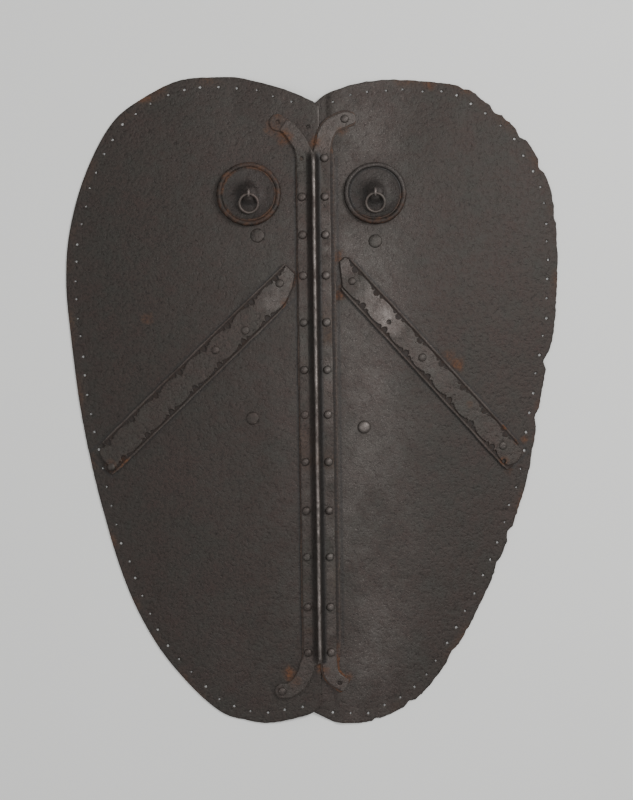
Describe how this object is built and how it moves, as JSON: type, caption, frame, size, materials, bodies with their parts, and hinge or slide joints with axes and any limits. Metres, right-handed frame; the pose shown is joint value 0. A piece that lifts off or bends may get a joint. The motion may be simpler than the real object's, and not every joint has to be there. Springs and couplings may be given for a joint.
{
  "type": "adarga shield",
  "caption": "Bilobed iron shield of riveted plates, with a folded keel, fretted straps and ringed roundels, lying on its back.",
  "frame": {"origin": "under the middle of the shield's box, on the surface that the plates' rims rest on", "axes": "+X across the shield, +Y along the keel towards the two lobes, +Z out of the front face"},
  "size_m": [0.6095, 0.802, 0.0519],
  "materials": {
    "plate_iron": "dark brown-black forged plate, pitted, satin",
    "worn_iron": "forged iron, worn lighter on its edges",
    "rusted_iron": "forged iron with orange rust along its edges",
    "roundel_iron": "dark iron with reddish rust on the rim",
    "rivet_iron": "hammered iron heads, satin"
  },
  "bodies": {
    "root": {"eye_left": "worn_iron", "eye_right": "worn_iron", "keel": "worn_iron", "keel_backing": "rusted_iron", "keel_rivet_left_02": "rivet_iron", "keel_rivet_left_03": "rivet_iron", "keel_rivet_left_04": "rivet_iron", "keel_rivet_left_05": "rivet_iron", "keel_rivet_left_06": "rivet_iron", "keel_rivet_left_07": "rivet_iron", "keel_rivet_left_08": "rivet_iron", "keel_rivet_left_09": "rivet_iron", "keel_rivet_left_10": "rivet_iron", "keel_rivet_left_11": "rivet_iron", "keel_rivet_left_12": "rivet_iron", "keel_rivet_right_01": "rivet_iron", "keel_rivet_right_02": "rivet_iron", "keel_rivet_right_03": "rivet_iron", "keel_rivet_right_04": "rivet_iron", "keel_rivet_right_05": "rivet_iron", "keel_rivet_right_06": "rivet_iron", "keel_rivet_right_07": "rivet_iron", "keel_rivet_right_08": "rivet_iron", "keel_rivet_right_09": "rivet_iron", "keel_rivet_right_10": "rivet_iron", "keel_rivet_right_11": "rivet_iron", "keel_rivet_right_12": "rivet_iron", "plate_left": "plate_iron", "plate_right": "plate_iron", "ring_left": "worn_iron", "ring_right": "worn_iron", "roundel_left": "roundel_iron", "roundel_right": "roundel_iron", "strap_left_backing": "rusted_iron", "strap_left_fret": "worn_iron", "strap_left_rivet_1": "rivet_iron", "strap_left_rivet_2": "rivet_iron", "strap_left_rivet_3": "rivet_iron", "strap_left_rivet_4": "rusted_iron", "strap_right_backing": "rusted_iron", "strap_right_fret": "worn_iron", "strap_right_rivet_1": "rivet_iron", "strap_right_rivet_2": "rivet_iron", "strap_right_rivet_3": "rivet_iron", "stud_left_mid": "rivet_iron", "stud_left_top": "rivet_iron", "stud_right_mid": "rivet_iron", "stud_right_top": "rivet_iron", "tail_rivet_foot_left": "rivet_iron", "tail_rivet_top_right": "rivet_iron"}
  },
  "joints": []
}
